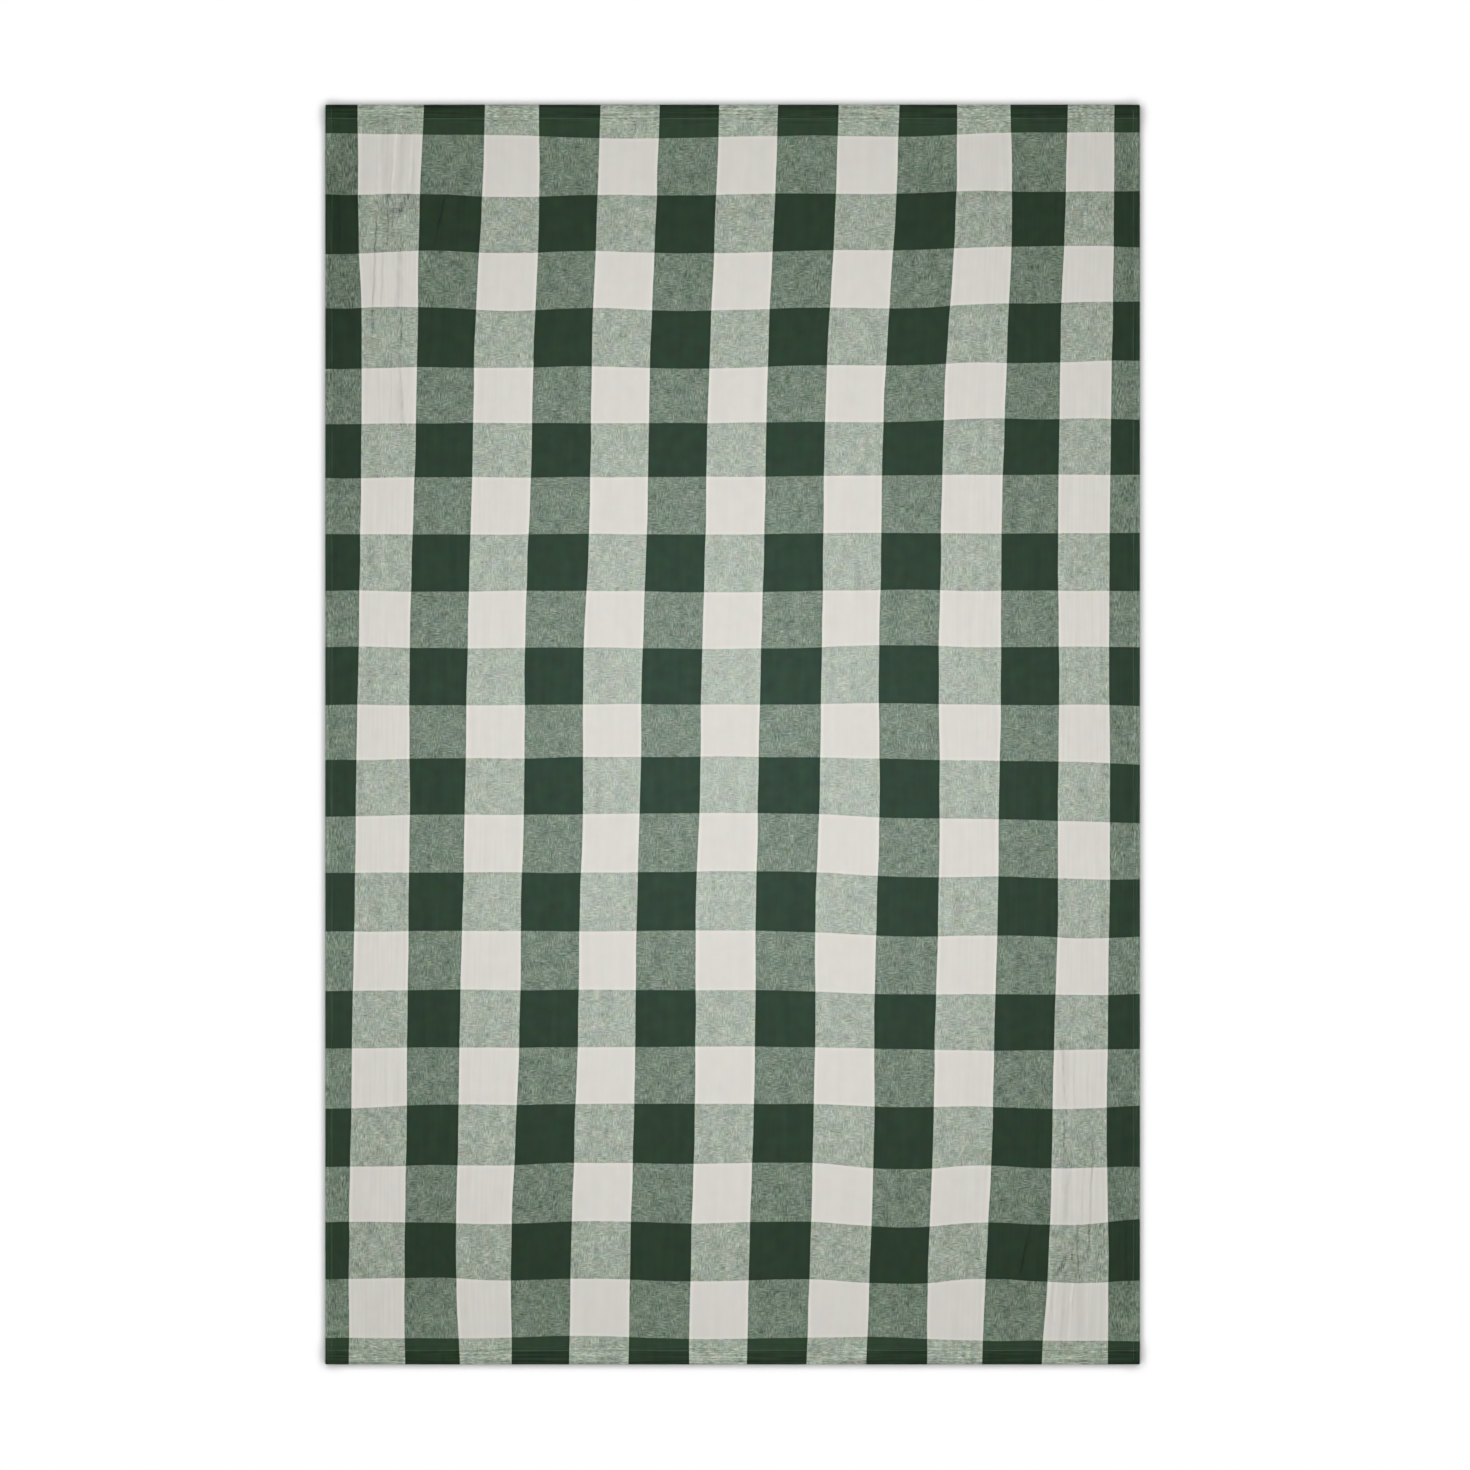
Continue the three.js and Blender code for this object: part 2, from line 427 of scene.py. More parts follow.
def add_node(tree, kind, inputs=(), output=0, **settings):
    """A node with its settings and its inputs, each a value or another node's output."""
    node = tree.nodes.new(kind)
    for name, value in settings.items():
        setattr(node, name, value)
    for name, value in dict(inputs).items():
        if isinstance(value, bpy.types.NodeSocket):
            tree.links.new(value, node.inputs[name])
        else:
            node.inputs[name].default_value = value
    return node.outputs[output]


def work_out(tree, operation, *values, **settings):
    """A Math node's result, from values or other nodes' outputs."""
    inputs = dict(enumerate(values))
    return add_node(tree, "ShaderNodeMath", inputs, operation=operation, **settings)


def on_vectors(tree, operation, *values, output=0):
    """A Vector Math node's result, from values or other nodes' outputs."""
    inputs = dict(enumerate(values))
    return add_node(tree, "ShaderNodeVectorMath", inputs, output, operation=operation)


def scaled(tree, vector, share):
    """A vector or a colour times a number."""
    inputs = {0: vector, "Scale": share}
    return add_node(tree, "ShaderNodeVectorMath", inputs, operation="SCALE")


def parts(tree, vector):
    """The X, Y and Z of a vector."""
    node = tree.nodes.new("ShaderNodeSeparateXYZ")
    tree.links.new(vector, node.inputs[0])
    return node.outputs


def rise(tree, value, low, high, start=0, end=1, **settings):
    """Start where the value is low, end where it is high, and steadily from one to the other
    in between."""
    return add_node(tree, "ShaderNodeMapRange", {
        "Value": value,
        "From Min": low,
        "From Max": high,
        "To Min": start,
        "To Max": end,
    }, **settings)


def blend_colours(tree, share, first, second):
    """The first colour where share is 0, the second where it is 1."""
    node = tree.nodes.new("ShaderNodeMix")
    node.data_type = "RGBA"
    for socket, value in (("Factor_Float", share), ("A_Color", first), ("B_Color", second)):
        target = next(place for place in node.inputs if place.identifier == socket)
        if isinstance(value, bpy.types.NodeSocket):
            tree.links.new(value, target)
        else:
            target.default_value = value
    return next(place for place in node.outputs if place.identifier == "Result_Color")


def new_material(name):
    material = bpy.data.materials.new(name)
    material.use_nodes = True
    tree = material.node_tree
    return material, tree, tree.nodes["Principled BSDF"]


# The yarns, and how they lie over each other
white_yarn = (0.501, 0.487, 0.454, 1)
green_yarn = (0.0250, 0.0458, 0.0325, 1)
green_warp_on_white = (0.0438, 0.0969, 0.0614, 1)   # light shines through a single yarn
green_weft_on_white = (0.046, 0.144, 0.092, 1)
green_cover = 0.78          # how much of a mixed square its warp covers, when it is green
white_cover = 0.57          # the same, when it is off-white
yarn_pitch = 0.7 * MM
yarn_cover = 0.20           # each yarn hides the one that it lies over
yarn_shade = 0.06           # and gets a little painted shade where it dips under it
yarn_relief = 0.1 * MM
relief_strength = 0.3
slub_relief = 2             # slubs stand this much prouder than a plain crossing
stripe_edge = 0.5 * MM
border_reach = 2.2 * MM     # the outermost yarns of a stripe show a little stronger
warp_border = 0.16
weft_border = 0.08

# Slubs, the thick soft places in the yarns
slub_length = 9 * MM
slub_width = 3 * MM
slub_seeds = (0.3, 5.1)     # in the warp and in the weft
thick_length = 12 * MM      # thick places in single yarns
thick_width = 0.9 * MM
thick_seeds = (7.7, 9.2)
thick_share = 1.2
slub_cover = 0.11           # how far a slub hides the yarns that cross it
slub_shade = (0.18, -0.385)  # and shades a mixed square, with off-white and with green warp
slub_middle = 0.93          # how strong the slubs are in the middle of the cloth
slub_growth = (1.0, 0.3)    # and how much more so for each metre from there
lead_size = 26 * MM         # places where one yarn system's slubs stand out more
lead_noise = (0.4, 0.6)
lead = (0.35, 1.65)         # how strong the warp's are there, and the weft's is 2 less this
side_lead = 0.5             # the warp leads near the side hems
side_lead_reach = 90 * MM
end_lead = -0.9             # and the weft on the end hems
patch_size = 22 * MM        # cloudy places where one yarn system lies higher
patch_share = 0.8

# Uneven shades, each of these in white, mixed and green squares
streak_length = 180 * MM
streak_width = 13 * MM
streak_shade = (0.07, 0.20, 0.24)
patch_shade = (0.05, 0, 0.22)
dye_shade = (0.05, 0.13, 0.27)
dye_patch = 25 * MM

# Faint lines along the warp, near the long sides
crinkle_width = 4.5 * MM
crinkle_length = 130 * MM
crinkle_reach = 420 * MM
crinkle_shade = 0.12

# Painted light and sheen from the lamp on the green and mixed squares, most in the middle,
# and less of it by this much for each metre from there
middle_light = 1.048
light_falloff = (0.240, 0.214, 0.264)
green_middle_light = 1.033         # more so where both yarns are green
green_light_falloff = (0.104, 0.120, 0.235)
end_lighter = 0.10            # both ends are a little lighter
end_reach = 140 * MM
end_green_lighter = 0.19      # and their green squares more than that
end_green_reach = 108 * MM
left_lighter_down = 0.13           # lighter for each metre down the left edge from its middle
left_reach = 90 * MM

# The hems: painted shade on the green squares of the end hems, where three layers of green let
# less light through, and the raised hems are rubbed lighter in lines along their edge
end_hem_shade = -0.33
end_hem_full = 0.84         # the share of the hem's width where it is fully so
end_fold_shade = -0.22       # painted shade on the fold at the ends
end_fold_reach = 8 * MM
hem_wear = 0.9
hem_wear_reach = 17 * MM
hem_wear_least = 0.43
end_wear = 1.0
end_wear_reach = 44 * MM
end_wear_least = 0.48
worn_width = 3.5 * MM
worn_length = 90 * MM

# Painted shade in the furrows and painted light on the small ridges, and more painted shade in
# the green squares where the warp is thin
furrow_shade = (0.21, 0.28)
dash_noise = (0.36, 0.56)
dash_share = (1.4, 0.2)

# Neps, the knots in the yarn, a few in each square
nep_gap = (26 * MM, 11 * MM)
nep_radius = 0.13           # of the gap, and a third of that where it is darkest
nep_share = 0.35
nep_shade = 0.32


def stripes(tree, place, repeat):
    """1 in the green stripes and 0 in the off-white ones, which lie over the middle, and how
    far into the green stripe each place is."""
    from_middle = work_out(tree, "PINGPONG", place, repeat / 2)
    into_green = work_out(tree, "SUBTRACT", from_middle, repeat / 4)
    return rise(tree, into_green, -stripe_edge / 2, stripe_edge / 2), into_green


def border(tree, into_green, strength):
    """A brightness a little over 1 just outside the green stripe and under 1 just inside."""
    steps = work_out(tree, "DIVIDE", into_green, border_reach)
    squared = work_out(tree, "MULTIPLY", steps, steps)
    fall = work_out(tree, "EXPONENT", work_out(tree, "MULTIPLY", squared, -0.5))
    return work_out(tree, "MULTIPLY_ADD", work_out(tree, "MULTIPLY", steps, fall), -strength, 1)


def uneven(tree, yarns, across, along, seed, output="Fac", detail=1):
    """Noise about 0.5, stretched to places of this size across and along the warp."""
    stretched = add_node(tree, "ShaderNodeMapping", {
        "Vector": yarns,
        "Location": (seed, seed, 0),
        "Scale": (1 / across, 1 / along, 1),
    })
    return add_node(tree, "ShaderNodeTexNoise", {
        "Vector": stretched,
        "Scale": 1,
        "Detail": detail,
        "Roughness": 0.5,
    }, output, noise_dimensions="2D")


def add_shade(tree, brightness, cause, strength, least=0.5):
    """Brightness with a share of an uneven cause added, counted from its least value."""
    beyond = work_out(tree, "SUBTRACT", cause, least)
    return work_out(tree, "MULTIPLY_ADD", beyond, strength, brightness)


def towards(tree, place, edge, reach, most, full=0.5):
    """0 up to this reach from the edge, rising smoothly to the most at a share of it."""
    ends = (edge - reach, edge - reach * full)
    return rise(tree, place, *ends, end=most, interpolation_type="SMOOTHSTEP")


def check_cotton():
    material, tree, surface = new_material("check_cotton")
    yarns = add_node(tree, "ShaderNodeUVMap", uv_map="yarns")
    warp_place, weft_place, _ = parts(tree, yarns)
    warp_green, into_warp_green = stripes(tree, warp_place, warp_repeat)
    weft_green, into_weft_green = stripes(tree, weft_place, weft_repeat)
    both_green = work_out(tree, "MULTIPLY", warp_green, weft_green)
    any_green = work_out(tree, "MAXIMUM", warp_green, weft_green)
    # 1 where the weft alone is green, and -1 where the warp alone is
    mixed = work_out(tree, "SUBTRACT", weft_green, warp_green)
    position = add_node(tree, "ShaderNodeTexCoord", output="Object")
    from_middle = on_vectors(tree, "LENGTH", position, output="Value")
    place_x, place_y, _ = parts(tree, position)
    side = work_out(tree, "ABSOLUTE", place_x)
    end = work_out(tree, "ABSOLUTE", place_y)

    def by_warp(values):
        """The first value where the warp is off-white and the second where it is green."""
        white, green = values
        return work_out(tree, "MULTIPLY_ADD", warp_green, green - white, white)

    # which yarn lies on top: slubs and cloudy patches on the even plain weave
    warp_slubs = uneven(tree, yarns, slub_width, slub_length, slub_seeds[0])
    weft_slubs = uneven(tree, yarns, slub_length, slub_width, slub_seeds[1])
    thick_warp = uneven(tree, yarns, thick_width, thick_length, thick_seeds[0])
    thick_weft = uneven(tree, yarns, thick_length, thick_width, thick_seeds[1])
    warp_slubs = add_shade(tree, warp_slubs, thick_warp, thick_share)
    weft_slubs = add_shade(tree, weft_slubs, thick_weft, thick_share)
    patches = uneven(tree, yarns, patch_size, patch_size, seed=8.7)
    waves = [
        work_out(tree, "SINE", work_out(tree, "MULTIPLY", place, math.pi / yarn_pitch))
        for place in (warp_place, weft_place)
    ]
    crossings = work_out(tree, "MULTIPLY", *waves)

    # either yarn system's slubs may lead
    leading = uneven(tree, yarns, lead_size, lead_size, seed=4.4)
    leading = rise(tree, leading, *lead_noise, *lead)
    by_side = towards(tree, side, cloth_width / 2, side_lead_reach, side_lead)
    leading = work_out(tree, "MINIMUM", work_out(tree, "ADD", leading, by_side), 2)
    by_end = towards(tree, end, cloth_length / 2, end_wear_reach, end_lead)
    leading = work_out(tree, "MAXIMUM", work_out(tree, "ADD", leading, by_end), 0)
    all_slubs = work_out(tree, "ADD", warp_slubs, weft_slubs)
    slubs = work_out(tree, "MULTIPLY_ADD", weft_slubs, -2, 1)
    both_slubs = work_out(tree, "SUBTRACT", all_slubs, 1)
    slubs = work_out(tree, "MULTIPLY_ADD", leading, both_slubs, slubs)
    slubs = add_shade(tree, slubs, patches, patch_share)
    growth = work_out(tree, "MULTIPLY_ADD", from_middle, by_warp(slub_growth), slub_middle)
    slubs = work_out(tree, "MULTIPLY", slubs, growth)

    # how much of each place is the warp's colour
    cover = by_warp((white_cover, green_cover))
    cover = work_out(tree, "MULTIPLY_ADD", slubs, slub_cover, cover)
    cover = work_out(tree, "MULTIPLY_ADD", crossings, yarn_cover, cover, use_clamp=True)
    green_warp = blend_colours(tree, both_green, green_warp_on_white, green_yarn)
    green_weft = blend_colours(tree, both_green, green_weft_on_white, green_yarn)
    warp_colour = blend_colours(tree, warp_green, white_yarn, green_warp)
    weft_colour = blend_colours(tree, weft_green, white_yarn, green_weft)
    colour = blend_colours(tree, cover, weft_colour, warp_colour)

    def strength(shades):
        """The first value in white squares, the second in mixed and the third in green ones."""
        white, mix, green = shades
        shade = work_out(tree, "MULTIPLY_ADD", any_green, mix - white, white)
        return work_out(tree, "MULTIPLY_ADD", both_green, green - mix, shade)

    # the dye is uneven
    dye = uneven(tree, yarns, dye_patch, dye_patch, seed=2.9, output="Color")
    dye = on_vectors(tree, "SUBTRACT", dye, (0.5,) * 3)
    dye = scaled(tree, dye, strength(dye_shade))
    dye = on_vectors(tree, "ADD", dye, (1,) * 3)
    colour = on_vectors(tree, "MULTIPLY", colour, dye)

    # painted light and sheen from the lamp, most in the middle
    for most, less, share in (
        (middle_light, light_falloff, any_green), (green_middle_light, green_light_falloff, both_green),
    ):
        painted_light = scaled(tree, less, from_middle)
        painted_light = on_vectors(tree, "SUBTRACT", (most - 1,) * 3, painted_light)
        painted_light = scaled(tree, painted_light, share)
        painted_light = on_vectors(tree, "ADD", painted_light, (1,) * 3)
        colour = on_vectors(tree, "MULTIPLY", colour, painted_light)

    # streaks along the warp, patches, slubs and faint lines make it lighter or darker
    streaks = uneven(tree, yarns, streak_width, streak_length, seed=6.2, detail=2)
    brightness = add_shade(tree, 1, streaks, strength(streak_shade))
    brightness = add_shade(tree, brightness, patches, strength(patch_shade))
    crinkles = uneven(tree, yarns, crinkle_width, crinkle_length, seed=11.3)
    crinkled = towards(tree, side, cloth_width / 2, crinkle_reach, crinkle_shade)
    brightness = add_shade(tree, brightness, crinkles, crinkled)
    only_mixed = work_out(tree, "SUBTRACT", any_green, both_green)
    slub_contrast = work_out(tree, "MULTIPLY", by_warp(slub_shade), only_mixed)
    brightness = work_out(tree, "MULTIPLY_ADD", slubs, slub_contrast, brightness)
    # painted shade where the warp dips under the weft
    brightness = work_out(tree, "MULTIPLY_ADD", crossings, yarn_shade, brightness)

    # the hems are worn, the left edge grows lighter downwards, the ends are lighter, and the end
    # hems' green squares and the folds at the ends carry painted shade
    worn = uneven(tree, position, worn_width, worn_length, seed=1.7)
    on_hem = towards(tree, side, cloth_width / 2, hem_wear_reach, hem_wear)
    worn_warp = work_out(tree, "MULTIPLY", on_hem, warp_green)
    brightness = add_shade(tree, brightness, worn, worn_warp, hem_wear_least)
    worn = uneven(tree, position, worn_length, worn_width, seed=3.1)
    on_hem = towards(tree, end, cloth_length / 2, end_wear_reach, end_wear)
    worn_weft = work_out(tree, "MULTIPLY", on_hem, weft_green)
    brightness = add_shade(tree, brightness, worn, worn_weft, end_wear_least)
    left = work_out(tree, "MULTIPLY", place_x, -1)
    down = work_out(tree, "MULTIPLY", place_y, -1)
    on_left = towards(tree, left, cloth_width / 2, left_reach, left_lighter_down)
    on_left = work_out(tree, "MULTIPLY", on_left, warp_green)
    brightness = work_out(tree, "MULTIPLY_ADD", on_left, down, brightness)
    for squares, *at_end in (
        (any_green, end_reach, end_lighter),
        (both_green, end_green_reach, end_green_lighter),
        (both_green, end_hem, end_hem_shade, end_hem_full),
        (any_green, end_fold_reach, end_fold_shade),
    ):
        nearness = towards(tree, end, cloth_length / 2, *at_end)
        brightness = work_out(tree, "MULTIPLY_ADD", nearness, squares, brightness)

    # painted shade in the furrows and painted light on the small ridges, with more painted shade
    # in dashes in the green squares
    furrow = add_node(tree, "ShaderNodeAttribute", output="Fac", attribute_name="furrow")
    furrow_dashes = rise(tree, warp_slubs, *dash_noise, *dash_share)
    uneven_shade = work_out(tree, "MULTIPLY", patches, -2 * furrow_shade[0])
    brightness = work_out(tree, "MULTIPLY_ADD", furrow, uneven_shade, brightness)
    shading = work_out(tree, "MULTIPLY", any_green, furrow_dashes)
    shading = work_out(tree, "MULTIPLY", shading, work_out(tree, "MAXIMUM", furrow, 0))
    brightness = work_out(tree, "MULTIPLY_ADD", shading, -furrow_shade[1], brightness)

    # a knot in some cells of a grid, and the outermost yarns of the stripes
    cells = add_node(tree, "ShaderNodeMapping", {
        "Vector": yarns,
        "Scale": (1 / nep_gap[0], 1 / nep_gap[1], 1),
    })
    nep = tree.nodes.new("ShaderNodeTexVoronoi")
    nep.voronoi_dimensions = "2D"
    tree.links.new(cells, nep.inputs["Vector"])
    nep.inputs["Scale"].default_value = 1
    on_knot = rise(tree, nep.outputs["Distance"], nep_radius, nep_radius / 3)
    draw = parts(tree, nep.outputs["Color"])[0]
    chosen = work_out(tree, "LESS_THAN", draw, nep_share)
    knots = work_out(tree, "MULTIPLY", on_knot, chosen)
    contrast = work_out(tree, "MULTIPLY", mixed, -nep_shade)
    brightness = work_out(tree, "MULTIPLY_ADD", knots, contrast, brightness)
    for into_green, shown in ((into_warp_green, warp_border), (into_weft_green, weft_border)):
        brightness = work_out(tree, "MULTIPLY", brightness, border(tree, into_green, shown))
    tree.links.new(scaled(tree, colour, brightness), surface.inputs["Base Color"])

    # slubs and crossings stand up a little
    height = work_out(tree, "MULTIPLY_ADD", all_slubs, slub_relief, crossings)
    bump = add_node(tree, "ShaderNodeBump", {
        "Strength": relief_strength,
        "Distance": yarn_relief,
        "Height": height,
    })
    tree.links.new(bump, surface.inputs["Normal"])
    surface.inputs["Roughness"].default_value = 0.9
    surface.inputs["Specular IOR Level"].default_value = 0.03
    surface.inputs["Sheen Weight"].default_value = 0.01
    surface.inputs["Sheen Roughness"].default_value = 0.5
    return material


# The grid is closest where the sharp lines are. Each stretch of it is told by its end, from
# the cloth's edge, and by its step, in mm.
side_stretches = [(34, 5), (78, 9), (156, 1.4), (188, 7), (211, 2.2)]
end_stretches = [(150, 14), (230, 5), (350, 12), (600, 22)]
middle_step_across = 24 * MM
middle_step_along = 25 * MM


def stepped(start, stretches):
    """Places after start, spread by each stretch's own step up to its end."""
    places = []
    for end, step in stretches:
        places += spread(start, end * MM, step * MM)
        start = end * MM
    return places


near_side = stepped(side_hem + hem_slope, side_stretches)
middle = spread(near_side[-1], cloth_width - near_side[-1], middle_step_across)[:-1]
across_lines = grid_lines(cloth_width, side_hem, near_side, middle)
near_end = stepped(end_hem + hem_slope, end_stretches)
middle = spread(near_end[-1], cloth_length - near_end[-1], middle_step_along)[:-1]
along_lines = grid_lines(cloth_length, end_hem, near_end, middle)

points, facing, thickness = folded_cloth(across_lines, along_lines)
outer_points = points + facing * thickness / 2
inner_points = points - facing * thickness / 2
cloth = mesh_object(
    "woven_check_cloth",
    np.concatenate([outer_points.reshape(-1, 3), inner_points.reshape(-1, 3)]),
    sheet_faces(*points.shape[:2]),
    check_cotton(),
)
yarns = np.stack(yarn_places(across_lines.flat, along_lines.flat), axis=-1).reshape(-1, 2)
yarn_map = cloth.data.uv_layers.new(name="yarns")
corner_points = np.empty(len(cloth.data.loops), int)
cloth.data.loops.foreach_get("vertex_index", corner_points)
yarn_map.uv.foreach_set("vector", yarns[corner_points % len(yarns)].ravel())
furrows = np.clip(-fine_lines(points[..., 0], points[..., 1]) / MM, -1, 1).ravel()
furrow_shades = cloth.data.attributes.new("furrow", "FLOAT", "POINT")
furrow_shades.data.foreach_set("value", np.tile(furrows, 2))
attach(cloth, "root")
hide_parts("tablecloth")

# The hem stitches
# A row of lock stitches in mid green thread holds each hem, 1 mm from its inner edge, with
# the needle thread on the face and the bobbin thread on the back. Each stitch is a short
# bowed length of thread, pulled into the cloth at both ends.
stitch_pitch = 3 * MM
stitch_length = 2.4 * MM
stitch_sizes = (0.88, 1.08)  # the smallest and the largest, as shares of the usual one
stitch_seed = 4
thread_radius = 0.26 * MM
sunk_ends = -1.2            # a stitch's ends and its middle, in thread radii from the cloth
raised_middle = 1.8
thread_green = (0.106, 0.142, 0.109)
fibre_size = 0.2 * MM
fibre_relief = 0.05 * MM
fibre_shade = (0.7, 1.3)


def sewing_thread():
    material, tree, surface = new_material("sewing_thread")
    place = add_node(tree, "ShaderNodeTexCoord", output="Object")
    fibres = add_node(tree, "ShaderNodeTexNoise", {"Vector": place, "Scale": 1 / fibre_size})
    shade = rise(tree, fibres, 0, 1, *fibre_shade)
    tree.links.new(scaled(tree, thread_green, shade), surface.inputs["Base Color"])
    bump = add_node(tree, "ShaderNodeBump", {"Distance": fibre_relief, "Height": fibres})
    tree.links.new(bump, surface.inputs["Normal"])
    surface.inputs["Roughness"].default_value = 0.8
    surface.inputs["Specular IOR Level"].default_value = 0.1
    return material


def stitch_tree():
    """Stitches along a path of edges, with their rise towards +Z or turned over."""
    tree = bpy.data.node_groups.new("hem_stitches", "GeometryNodeTree")
    sockets = {}
    for name, kind in (
        ("Seams", "NodeSocketGeometry"),
        ("Stitch pitch", "NodeSocketFloat"),
        ("Stitch length", "NodeSocketFloat"),
        ("Thread radius", "NodeSocketFloat"),
        ("Turned over", "NodeSocketFloat"),
        ("Thread", "NodeSocketMaterial"),
    ):
        sockets[name] = tree.interface.new_socket(name, in_out="INPUT", socket_type=kind)
    tree.interface.new_socket("Stitches", in_out="OUTPUT", socket_type="NodeSocketGeometry")
    given = tree.nodes.new("NodeGroupInput").outputs
    path = add_node(tree, "GeometryNodeMeshToCurve", {"Mesh": given["Seams"]})
    places = add_node(tree, "GeometryNodeResampleCurve", {
        "Curve": path,
        "Length": given["Stitch pitch"],
    }, mode="LENGTH")

    half = work_out(tree, "MULTIPLY", given["Stitch length"], 0.5)
    back_half = work_out(tree, "MULTIPLY", half, -1)
    sunk = work_out(tree, "MULTIPLY", given["Thread radius"], sunk_ends)
    raised = work_out(tree, "MULTIPLY", given["Thread radius"], raised_middle)
    start = add_node(tree, "ShaderNodeCombineXYZ", {"X": back_half, "Z": sunk})
    top = add_node(tree, "ShaderNodeCombineXYZ", {"Z": raised})
    end = add_node(tree, "ShaderNodeCombineXYZ", {"X": half, "Z": sunk})
    bow = add_node(tree, "GeometryNodeCurveQuadraticBezier", {
        "Resolution": 4,
        "Start": start,
        "Middle": top,
        "End": end,
    })
    section = add_node(tree, "GeometryNodeCurvePrimitiveCircle", {
        "Resolution": 5,
        "Radius": given["Thread radius"],
    })
    stitch = add_node(tree, "GeometryNodeCurveToMesh", {
        "Curve": bow,
        "Profile Curve": section,
        "Fill Caps": True,
    })

    along = add_node(tree, "GeometryNodeInputTangent")
    facing = add_node(
        tree, "FunctionNodeAlignRotationToVector", {"Vector": along}, axis="X", pivot_axis="Z"
    )
    turn = add_node(tree, "ShaderNodeCombineXYZ", {"X": given["Turned over"]})
    turned = add_node(tree, "FunctionNodeRotateRotation", {
        "Rotation": facing,
        "Rotate By": add_node(tree, "FunctionNodeEulerToRotation", {"Euler": turn}),
    }, rotation_space="LOCAL")
    size = add_node(tree, "FunctionNodeRandomValue", {
        2: stitch_sizes[0],
        3: stitch_sizes[1],
        "Seed": stitch_seed,
    }, 1, data_type="FLOAT")
    stitches = add_node(tree, "GeometryNodeInstanceOnPoints", {
        "Points": places,
        "Instance": stitch,
        "Rotation": turned,
        "Scale": size,
    })
    whole = add_node(tree, "GeometryNodeRealizeInstances", {"Geometry": stitches})
    sewn = add_node(tree, "GeometryNodeSetMaterial", {
        "Geometry": whole,
        "Material": given["Thread"],
    })
    tree.links.new(sewn, tree.nodes.new("NodeGroupOutput").inputs["Stitches"])
    return tree, {name: socket.identifier for name, socket in sockets.items()}


def seam_paths(kind):
    """Points and edges of the seams, on this layer of the hems."""
    over_ends = along_lines.kind == FACE
    over_sides = across_lines.kind == FACE
    at_seam = np.isclose(across_lines.place, side_hem - seam_inset) & (across_lines.kind == kind)
    seams = [outer_points[i, over_ends] for i in np.flatnonzero(at_seam)]
    at_seam = np.isclose(along_lines.place, end_hem - seam_inset) & (along_lines.kind == kind)
    seams += [outer_points[over_sides, j] for j in np.flatnonzero(at_seam)]
    edges = []
    first = 0
    for seam in seams:
        edges += [(i, i + 1) for i in range(first, first + len(seam) - 1)]
        first += len(seam)
    return np.concatenate(seams), edges


def plain_mesh(piece):
    """The piece's evaluated mesh, in a new object of the same name without modifiers."""
    evaluated = piece.evaluated_get(bpy.context.evaluated_depsgraph_get())
    mesh = bpy.data.meshes.new_from_object(evaluated)
    name = piece.name
    bpy.data.objects.remove(piece)
    made = bpy.data.objects.new(name, mesh)
    bpy.context.collection.objects.link(made)
    return made


stitching, stitch_inputs = stitch_tree()
thread = sewing_thread()
for name, layer, turned_over in (("face_stitches", FACE, 0), ("back_stitches", BACK, math.pi)):
    seam_points, seam_edges = seam_paths(layer)
    path_mesh = bpy.data.meshes.new(name)
    path_mesh.from_pydata(seam_points, seam_edges, [])
    path = bpy.data.objects.new(name, path_mesh)
    bpy.context.collection.objects.link(path)
    modifier = path.modifiers.new("stitching", "NODES")
    modifier.node_group = stitching
    modifier[stitch_inputs["Stitch pitch"]] = stitch_pitch
    modifier[stitch_inputs["Stitch length"]] = stitch_length
    modifier[stitch_inputs["Thread radius"]] = thread_radius
    modifier[stitch_inputs["Turned over"]] = turned_over
    modifier[stitch_inputs["Thread"]] = thread
    stitches = plain_mesh(path)
    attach(stitches, "root")

# The studio
# A plain pale floor with painted shadow close to the cloth, in a dim dome with a bright ring of
# light low down all round. One soft lamp straight above the middle of the cloth lights the cloth
# alone.
# The backdrop is white where it shows.
floor_size = 12
floor_white = (0.95, 0.95, 0.95, 1)
contact_shadow_reach = 28 * MM     # how near the cloth the floor has painted shadow
floor_material, floor_tree, floor_surface = new_material("pale_floor")
# painted shadow: ambient occlusion darkens the floor's colour near the cloth
contact_shadow = add_node(floor_tree, "ShaderNodeAmbientOcclusion", {
    "Color": floor_white,
    "Distance": contact_shadow_reach,
}, samples=8)
floor_tree.links.new(contact_shadow, floor_surface.inputs["Base Color"])
floor_surface.inputs["Roughness"].default_value = 0.9
floor_surface.inputs["Specular IOR Level"].default_value = 0
corner = floor_size / 2
floor = mesh_object(
    "floor",
    [(-corner, -corner, 0), (corner, -corner, 0), (corner, corner, 0), (-corner, corner, 0)],
    [(0, 1, 2, 3)],
    floor_material,
)

dome_light = 0.05
ring_light = 1.01           # what the ring gives a white floor
ring_low = (0.18, 0.26)     # sines of the elevations where the bright ring begins
ring_high = (0.34, 0.44)    # and where it ends
ring_lean = 0.02            # how much brighter it is towards the top right of the picture
ring_heights = np.linspace(0, 1, 1001)
ring_profile = smooth((ring_heights - ring_low[0]) / (ring_low[1] - ring_low[0]))
ring_profile *= 1 - smooth((ring_heights - ring_high[0]) / (ring_high[1] - ring_high[0]))
ring_radiance = ring_light / np.mean(ring_profile * ring_heights * 2)
world = bpy.data.worlds.new("studio")
world.use_nodes = True
sky = world.node_tree
direction = add_node(sky, "ShaderNodeTexCoord")
height = parts(sky, direction)[2]
over_low = rise(sky, height, *ring_low, interpolation_type="SMOOTHSTEP")
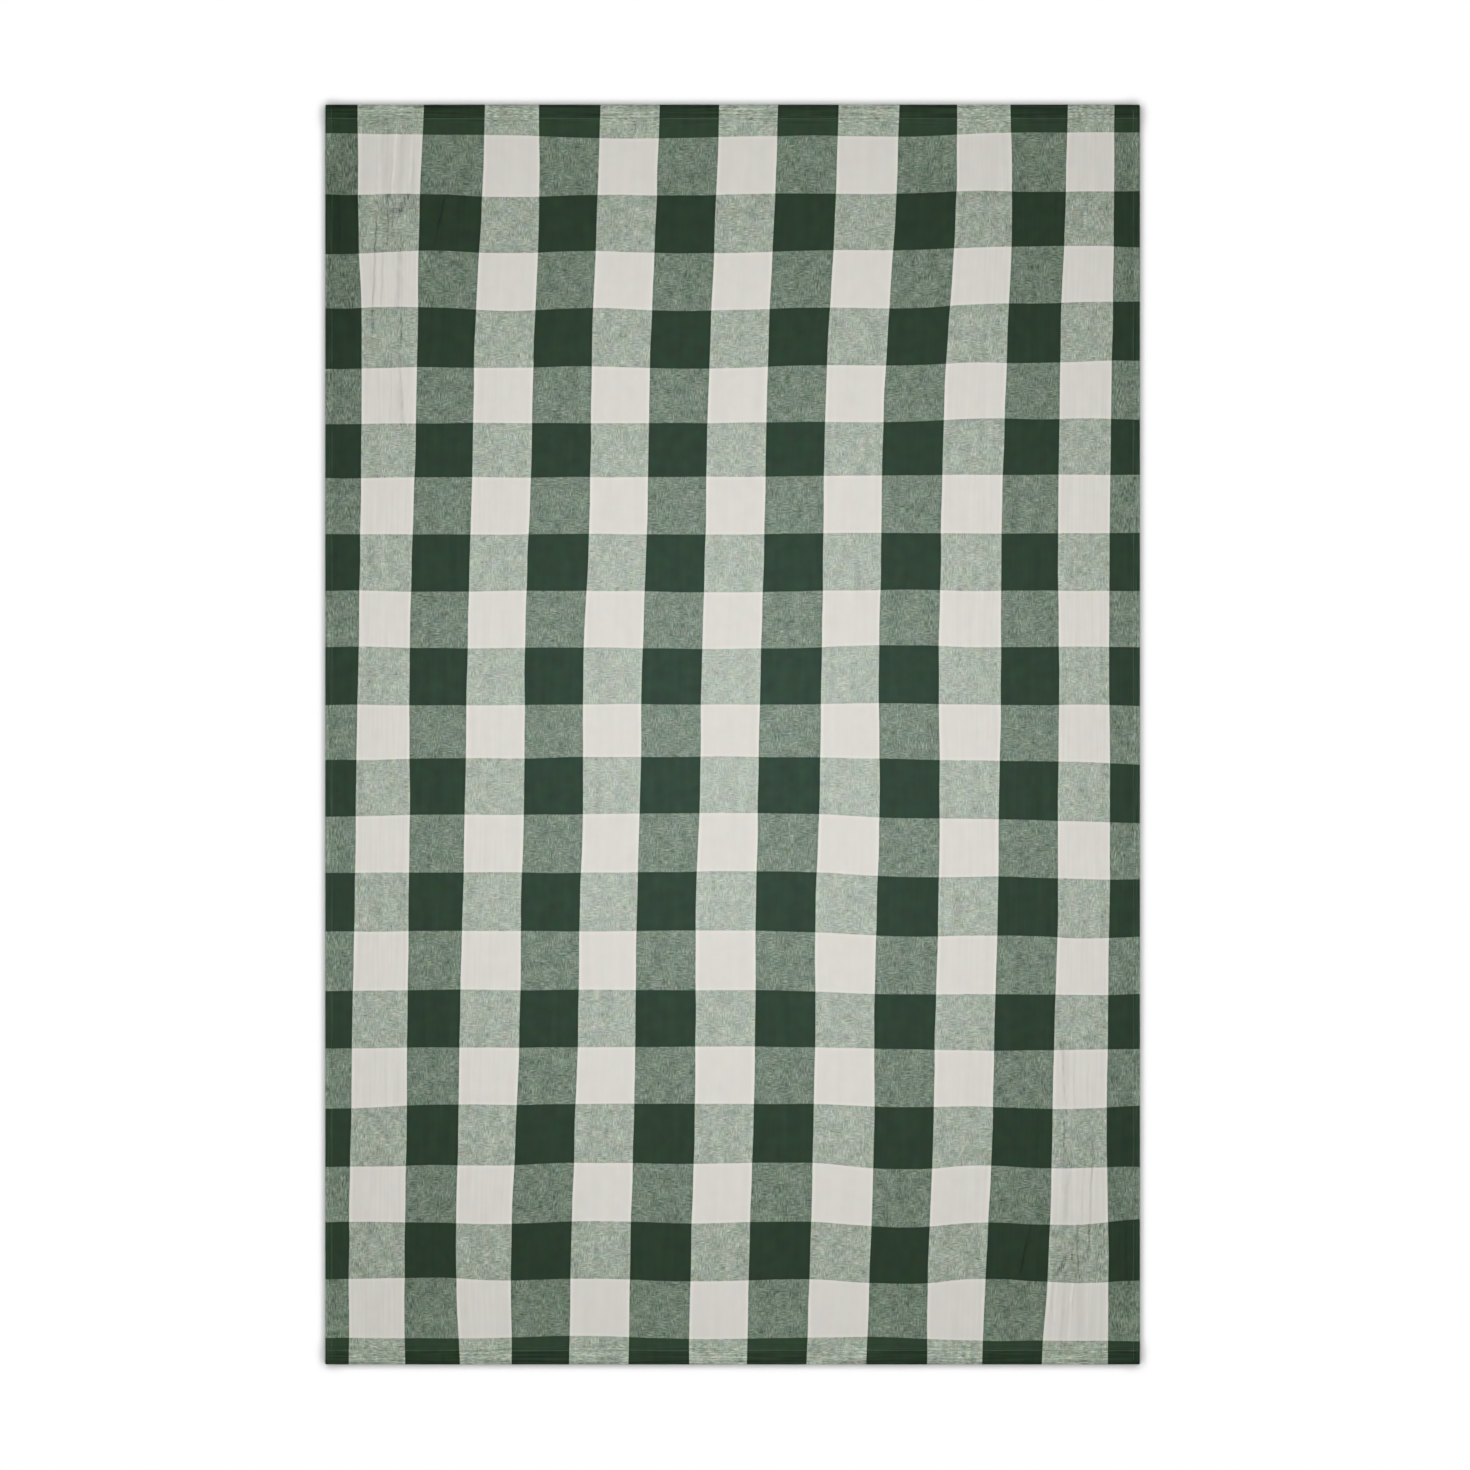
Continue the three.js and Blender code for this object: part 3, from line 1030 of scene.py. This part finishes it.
under_high = rise(sky, height, *ring_high, 1, 0, interpolation_type="SMOOTHSTEP")
ring = work_out(sky, "MULTIPLY", over_low, under_high)
top_right = (ring_lean * math.sqrt(0.5), ring_lean * math.sqrt(0.5), 0)
leaning = on_vectors(sky, "DOT_PRODUCT", direction, top_right, output="Value")
ring = work_out(sky, "MULTIPLY", ring, work_out(sky, "ADD", leaning, 1))
# the dome is plain white under the horizon, and everywhere to the camera
below = work_out(sky, "LESS_THAN", height, 0)
dim = work_out(sky, "ADD", below, dome_light)
strength = work_out(sky, "MULTIPLY_ADD", ring, float(ring_radiance), dim)
seen = add_node(sky, "ShaderNodeLightPath", output="Is Camera Ray")
strength = work_out(sky, "MAXIMUM", strength, seen)
sky.links.new(strength, sky.nodes["Background"].inputs["Strength"])
sky.nodes["Background"].inputs["Color"].default_value = (1, 1, 1, 1)
bpy.context.scene.world = world

lamp_height = 4.6
lamp_reach = (1.3, 1.6)     # its pool of light on the cloth is longer than it is wide
lamp_share = 0.395          # its light on the middle of the cloth, against a white floor's 1
lamp_data = bpy.data.lights.new("overhead_lamp", "SPOT")
lamp_data.spot_size = 2 * math.atan(lamp_reach[0] / lamp_height)
lamp_data.spot_blend = 1
lamp_data.shadow_soft_size = 0.5
lamp_data.energy = lamp_share * 4 * math.pi ** 2 * lamp_height ** 2
lamp = bpy.data.objects.new("overhead_lamp", lamp_data)
lamp.location = (0, 0, lamp_height)
lamp.scale = (1, lamp_reach[1] / lamp_reach[0], 1)
bpy.context.collection.objects.link(lamp)
lit_by_lamp = bpy.data.collections.new("lit_by_lamp")
lit_by_lamp.objects.link(cloth)
for name in ("face_stitches", "back_stitches"):
    lit_by_lamp.objects.link(bpy.data.objects[name])
lamp.light_linking.receiver_collection = lit_by_lamp

# The camera
# Straight above the cloth, square to it, with the cloth a little off the middle of the frame
# as it was photographed.
frame_width = 2.5680        # of the surface, across the picture
lens = 85
sensor = 36
past_middle = (4.2 * MM, -0.8 * MM)     # where the camera stands, from the cloth's middle
over_cloth = 3 * MM         # the frame is measured at the height of the cloth's face
camera_data = bpy.data.cameras.new("camera")
camera_data.lens = lens
camera_data.sensor_width = sensor
camera_data.sensor_fit = "AUTO"
camera = bpy.data.objects.new("camera", camera_data)
camera.location = (*past_middle, frame_width * lens / sensor + over_cloth)
bpy.context.collection.objects.link(camera)
bpy.context.scene.camera = camera
bpy.context.scene.view_settings.view_transform = "Standard"
